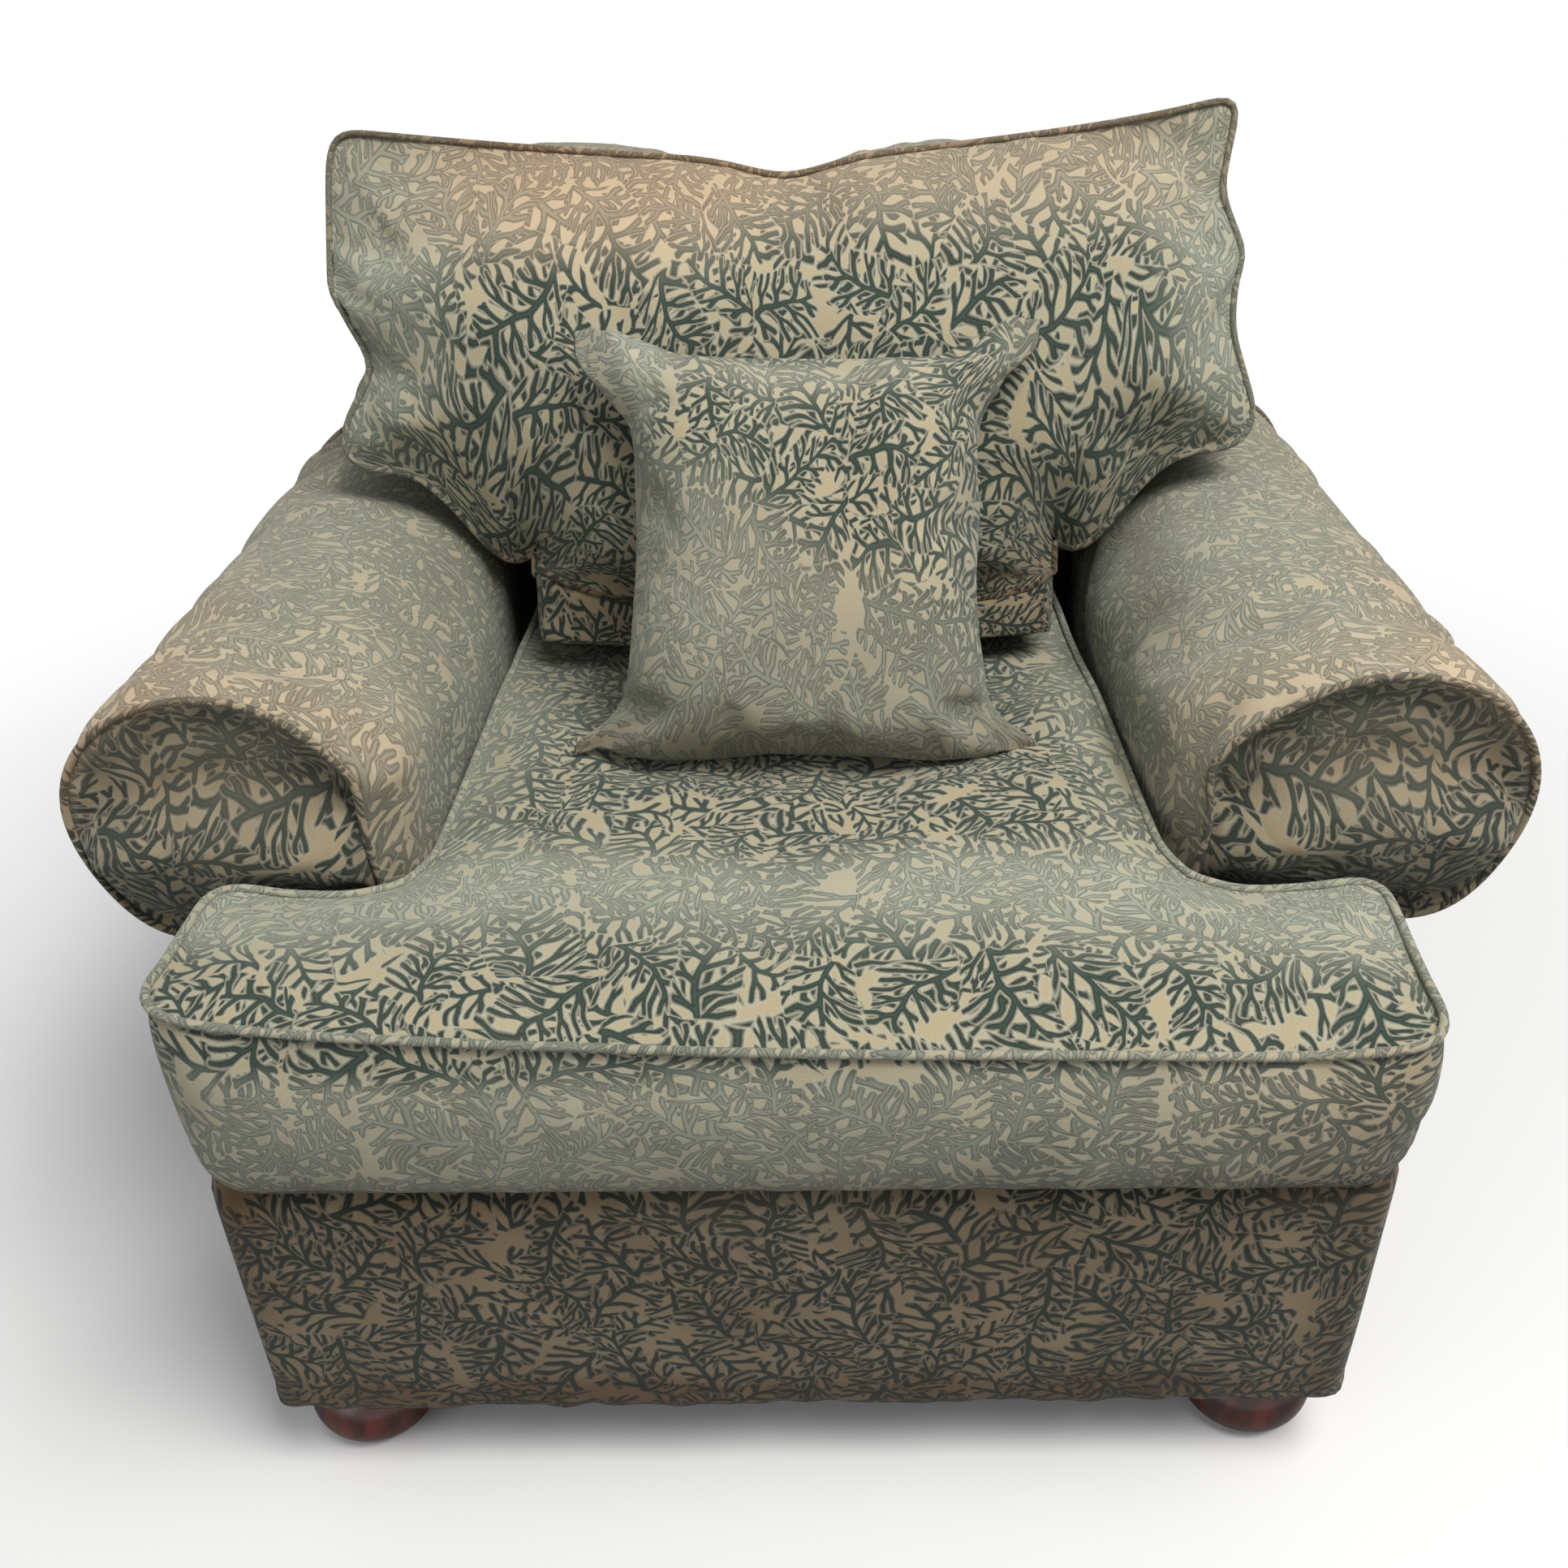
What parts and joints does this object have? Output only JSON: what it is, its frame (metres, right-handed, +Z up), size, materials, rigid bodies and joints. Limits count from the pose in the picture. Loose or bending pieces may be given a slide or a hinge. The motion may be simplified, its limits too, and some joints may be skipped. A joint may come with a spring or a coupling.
{
  "type": "armchair",
  "caption": "Sagging old upholstered armchair with rolled arms, a T-shaped seat cushion, a slumped back cushion, a small loose cushion and turned bun feet.",
  "frame": {"origin": "on the floor, under the middle of the chair's width and depth", "axes": "+Z up, +Y towards the back of the chair, +X to the right of someone who looks at its front"},
  "size_m": [1.1106, 0.9223, 0.9306],
  "materials": {
    "coral_cloth": "worn cut-pile cloth with a dark green twig pattern on beige",
    "worn_cloth": "the same cloth, rubbed pale on its ears and edges",
    "frame_timber": "bare sawn hardwood",
    "foot_mahogany": "dark red-brown polish, chipped",
    "spring_steel": "dull oiled wire",
    "webbing": "elastic webbing",
    "felt": "felted padding",
    "dust_cloth": "thin black cloth"
  },
  "bodies": {
    "root": {"arm_board_left": "frame_timber", "arm_board_right": "frame_timber", "arm_pad_left": "coral_cloth", "arm_pad_right": "coral_cloth", "arm_post_left": "frame_timber", "arm_post_right": "frame_timber", "arm_scroll_board_left": "frame_timber", "arm_scroll_board_right": "frame_timber", "arm_slat_left": "frame_timber", "arm_slat_right": "frame_timber", "back_cross_web": "webbing", "back_cushion": "coral_cloth", "back_post_left": "frame_timber", "back_post_right": "frame_timber", "back_rail": "frame_timber", "back_slat": "frame_timber", "back_top_rail": "frame_timber", "back_web_1": "webbing", "back_web_2": "webbing", "back_web_3": "webbing", "back_web_4": "webbing", "bun_foot_back_left": "foot_mahogany", "bun_foot_back_right": "foot_mahogany", "bun_foot_front_left": "foot_mahogany", "bun_foot_front_right": "foot_mahogany", "corner_block_back_left": "frame_timber", "corner_block_back_right": "frame_timber", "corner_block_front_left": "frame_timber", "corner_block_front_right": "frame_timber", "dust_cloth": "dust_cloth", "front_border": "coral_cloth", "front_rail": "frame_timber", "inside_back": "coral_cloth", "outside_arm_left": "coral_cloth", "outside_arm_right": "coral_cloth", "outside_back": "coral_cloth", "scatter_cushion": "worn_cloth", "seat_cushion": "worn_cloth", "seat_deck": "felt", "seat_spring_1": "spring_steel", "seat_spring_2": "spring_steel", "seat_spring_3": "spring_steel", "seat_spring_4": "spring_steel", "seat_spring_5": "spring_steel", "side_rail_left": "frame_timber", "side_rail_right": "frame_timber"}
  },
  "joints": []
}
